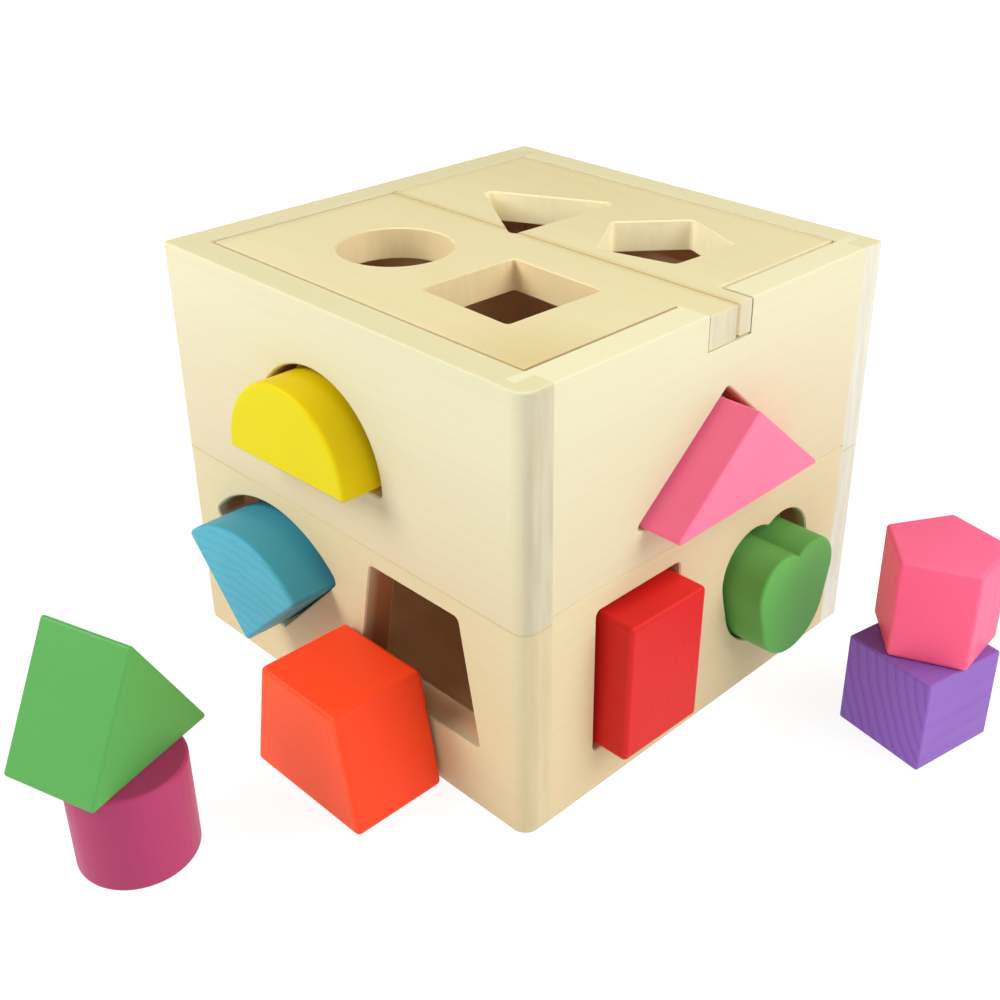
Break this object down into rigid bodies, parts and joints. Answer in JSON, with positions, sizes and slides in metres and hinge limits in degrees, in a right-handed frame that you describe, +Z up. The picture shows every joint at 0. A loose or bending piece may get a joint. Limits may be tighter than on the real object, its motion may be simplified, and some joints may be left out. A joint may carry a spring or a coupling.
{
  "type": "shape sorter",
  "caption": "Wooden sorting box with shaped holes in its lid and two walls, a lift-off lid with a finger tab, and painted wooden blocks to post through the holes.",
  "frame": {"origin": "centre of the box's underside, on the surface the toy stands on", "axes": "+Z up; -Y out of the wall with the half-round, quarter-round and trapezoid holes; +X out of the wall with the triangle, rectangle and heart holes and the lid's tab"},
  "size_m": [0.2038, 0.2337, 0.1243],
  "materials": {
    "pale_wood": "clear-finished wood",
    "pale_wood_warm": "clear-finished wood",
    "ply_panel": "clear-finished wood",
    "lid_wood": "clear-finished wood",
    "paint_yellow": "thin satin paint, grain shows through",
    "paint_blue": "thin satin paint, grain shows through",
    "paint_orange_red": "thin satin paint, grain shows through",
    "paint_pink": "thin satin paint, grain shows through",
    "paint_red": "thin satin paint, grain shows through",
    "paint_leaf_green": "thin satin paint, grain shows through",
    "paint_green": "thin satin paint, grain shows through",
    "paint_magenta": "thin satin paint, grain shows through",
    "paint_purple": "thin satin paint, grain shows through",
    "paint_coral_pink": "thin satin paint, grain shows through"
  },
  "bodies": {
    "box": {"back_board_lower": "pale_wood_warm", "back_board_upper": "pale_wood", "floor_panel": "ply_panel", "front_board_lower": "pale_wood_warm", "front_board_upper": "pale_wood", "left_board_lower": "pale_wood_warm", "left_board_upper": "pale_wood", "lid_ledge_front": "pale_wood", "lid_ledge_rear": "pale_wood", "right_board_lower": "pale_wood_warm", "right_board_upper": "pale_wood"},
    "lid": {"lid_board_front": "lid_wood", "lid_board_rear": "lid_wood"},
    "half_round_piece": {"half_round_block": "paint_yellow"},
    "quarter_round_piece": {"quarter_round_block": "paint_blue"},
    "trapezoid_piece": {"trapezoid_block": "paint_orange_red"},
    "triangle_piece": {"triangle_block": "paint_pink"},
    "rectangle_piece": {"rectangle_block": "paint_red"},
    "heart_piece": {"heart_block": "paint_leaf_green"},
    "prism_piece": {"prism_block": "paint_green"},
    "cylinder_piece": {"cylinder_block": "paint_magenta"},
    "cube_piece": {"cube_block": "paint_purple"},
    "pentagon_piece": {"pentagon_block": "paint_coral_pink"}
  },
  "joints": [
    {"name": "lid_lift", "type": "slide", "parent": "box", "child": "lid", "axis": [0, 0, 1], "range_m": [0, 0.04]},
    {"name": "half_round_post", "type": "slide", "parent": "box", "child": "half_round_piece", "axis": [0, -1, 0], "range_m": [-0.0196, 0.0182]},
    {"name": "quarter_round_post", "type": "slide", "parent": "box", "child": "quarter_round_piece", "axis": [0, -1, 0], "range_m": [-0.0219, 0.0159]},
    {"name": "triangle_post", "type": "slide", "parent": "box", "child": "triangle_piece", "axis": [1, 0, 0], "range_m": [-0.0209, 0.0169]},
    {"name": "rectangle_post", "type": "slide", "parent": "box", "child": "rectangle_piece", "axis": [1, 0, 0], "range_m": [-0.0189, 0.0189]},
    {"name": "heart_post", "type": "slide", "parent": "box", "child": "heart_piece", "axis": [1, 0, 0], "range_m": [-0.0209, 0.0169]},
    {"name": "trapezoid_lift", "type": "slide", "parent": "box", "child": "trapezoid_piece", "axis": [0, 0, 1], "range_m": [0, 0.03]},
    {"name": "cylinder_lift", "type": "slide", "parent": "box", "child": "cylinder_piece", "axis": [0, 0, 1], "range_m": [0, 0.03]},
    {"name": "prism_lift", "type": "slide", "parent": "cylinder_piece", "child": "prism_piece", "axis": [0, 0, 1], "range_m": [0, 0.03]},
    {"name": "cube_lift", "type": "slide", "parent": "box", "child": "cube_piece", "axis": [0, 0, 1], "range_m": [0, 0.03]},
    {"name": "pentagon_lift", "type": "slide", "parent": "cube_piece", "child": "pentagon_piece", "axis": [0, 0, 1], "range_m": [0, 0.03]}
  ]
}
